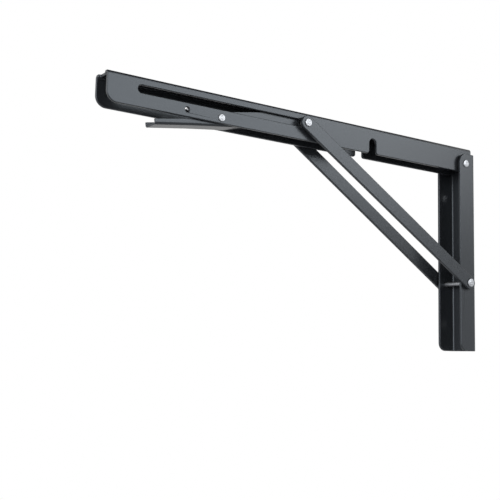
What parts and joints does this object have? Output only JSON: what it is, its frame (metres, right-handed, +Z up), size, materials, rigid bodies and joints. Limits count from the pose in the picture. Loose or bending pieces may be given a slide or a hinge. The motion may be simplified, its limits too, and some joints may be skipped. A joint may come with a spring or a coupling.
{
  "type": "folding shelf bracket",
  "caption": "Folding shelf bracket: a shelf arm hinges on a wall plate, a two-bar brace slides in the arm's slot, and a sprung release lever locks it level.",
  "frame": {"origin": "On the wall plate's back face, in its middle plane and at half its height.", "axes": "+X out from the wall along the level shelf arm, +Z up the wall, Y across the bracket with the spring hole on the +Y cheek."},
  "size_m": [0.4, 0.041, 0.2012],
  "materials": {
    "black_coat": "satin powder coat, near black",
    "rivet_steel": "bright zinc plated",
    "washer_steel": "zinc plated",
    "spring_wire": "bright drawn wire"
  },
  "bodies": {
    "wall": {"wall_plate": "black_coat", "arm_pivot_rivet": "rivet_steel", "brace_pivot_rivet": "rivet_steel", "arm_washer_front": "washer_steel", "arm_washer_rear": "washer_steel", "brace_washer_front": "washer_steel", "brace_washer_rear": "washer_steel"},
    "arm": {"shelf_arm": "black_coat", "lever_rivet": "rivet_steel", "lever_spring": "spring_wire"},
    "lever": {"release_lever": "black_coat"},
    "brace": {"brace_bar_front": "black_coat", "brace_bar_rear": "black_coat", "slide_head_front": "rivet_steel", "slide_head_rear": "rivet_steel"},
    "slider": {"slide_pin_front": "rivet_steel", "slide_pin_rear": "rivet_steel", "slide_spacer_front": "washer_steel", "slide_spacer_rear": "washer_steel"}
  },
  "joints": [
    {"name": "arm_fold", "type": "hinge", "parent": "wall", "child": "arm", "pos_m": [0.0128, 0, 0.08715], "axis": [0, 1, 0], "range_deg": [0, 90]},
    {"name": "brace_turn", "type": "hinge", "parent": "wall", "child": "brace", "pos_m": [0.0119, 0, -0.03135], "axis": [0, 1, 0], "range_deg": [0, 120.5]},
    {"name": "pin_slide", "type": "slide", "parent": "arm", "child": "slider", "axis": [1, 0, 0], "range_m": [0, 0.156]},
    {"name": "lever_press", "type": "hinge", "parent": "arm", "child": "lever", "pos_m": [0.2979, 0, 0.08405], "axis": [0, -1, 0], "range_deg": [0, 10], "stiffness_Nm_per_rad": 0.6, "springref_deg": -9.74, "deforming": ["lever_spring"]}
  ],
  "couplings": [
    {"joint": "brace_turn", "follows": "arm_fold", "ratio": 1.3347},
    {"joint": "pin_slide", "follows": "arm_fold", "m_per_rad": 0.098781}
  ]
}
